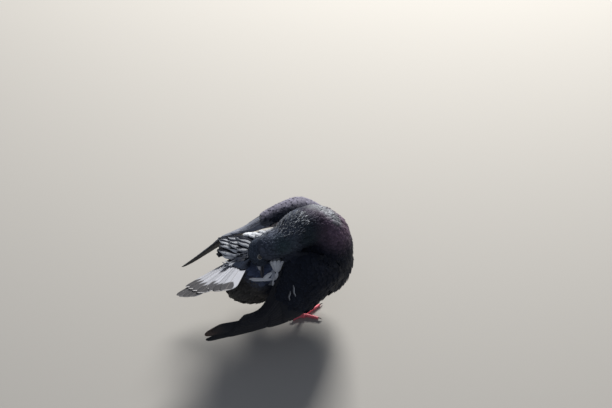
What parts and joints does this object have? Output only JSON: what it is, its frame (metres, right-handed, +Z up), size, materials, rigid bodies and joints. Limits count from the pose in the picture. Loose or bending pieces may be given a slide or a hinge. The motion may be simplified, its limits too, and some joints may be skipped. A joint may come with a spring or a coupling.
{
  "type": "pigeon",
  "caption": "Life-size feral pigeon standing with its neck laid over its back, preening its white rump beside a half-spread, swung tail.",
  "frame": {"origin": "the floor between the two feet", "axes": "+X the way the breast points, +Y the bird's left, +Z up from the floor"},
  "size_m": [0.266, 0.1935, 0.1975],
  "materials": {
    "slate_plumage": "soft dark slate feathers",
    "neck_plumage": "dark feathers with a green and purple sheen",
    "flight_feathers": "firm dark flight feathers",
    "tail_feathers": "pale grey feathers with a darker band",
    "rump_plumage": "white down and contour feathers",
    "bill_horn": "dark horn, satin",
    "cere_skin": "chalky white skin",
    "eye_orange": "wet gloss",
    "foot_skin": "scaly red skin",
    "claw_horn": "dark horn, satin"
  },
  "bodies": {
    "root": {"trunk": "slate_plumage", "neck_lower": "neck_plumage", "neck_upper": "neck_plumage", "head": "slate_plumage", "eye_left": "eye_orange", "eye_right": "eye_orange", "bill_upper": "bill_horn", "bill_lower": "bill_horn", "cere": "cere_skin", "tail_left": "tail_feathers", "tail_middle": "tail_feathers", "tail_right": "tail_feathers", "tail_coverts_upper": "rump_plumage", "rump_feathers": "rump_plumage", "tail_coverts_lower": "slate_plumage", "wing_right_coverts": "slate_plumage", "wing_right_secondaries": "flight_feathers", "wing_right_primaries": "flight_feathers", "thigh_right": "slate_plumage", "shank_right": "foot_skin", "foot_right": "foot_skin", "toe_inner_right": "foot_skin", "claw_inner_right": "claw_horn", "toe_middle_right": "foot_skin", "claw_middle_right": "claw_horn", "toe_outer_right": "foot_skin", "claw_outer_right": "claw_horn", "toe_hind_right": "foot_skin", "claw_hind_right": "claw_horn", "wing_left_coverts": "slate_plumage", "wing_left_secondaries": "flight_feathers", "wing_left_primaries": "flight_feathers", "thigh_left": "slate_plumage", "shank_left": "foot_skin", "foot_left": "foot_skin", "toe_inner_left": "foot_skin", "claw_inner_left": "claw_horn", "toe_middle_left": "foot_skin", "claw_middle_left": "claw_horn", "toe_outer_left": "foot_skin", "claw_outer_left": "claw_horn", "toe_hind_left": "foot_skin", "claw_hind_left": "claw_horn"}
  },
  "joints": []
}
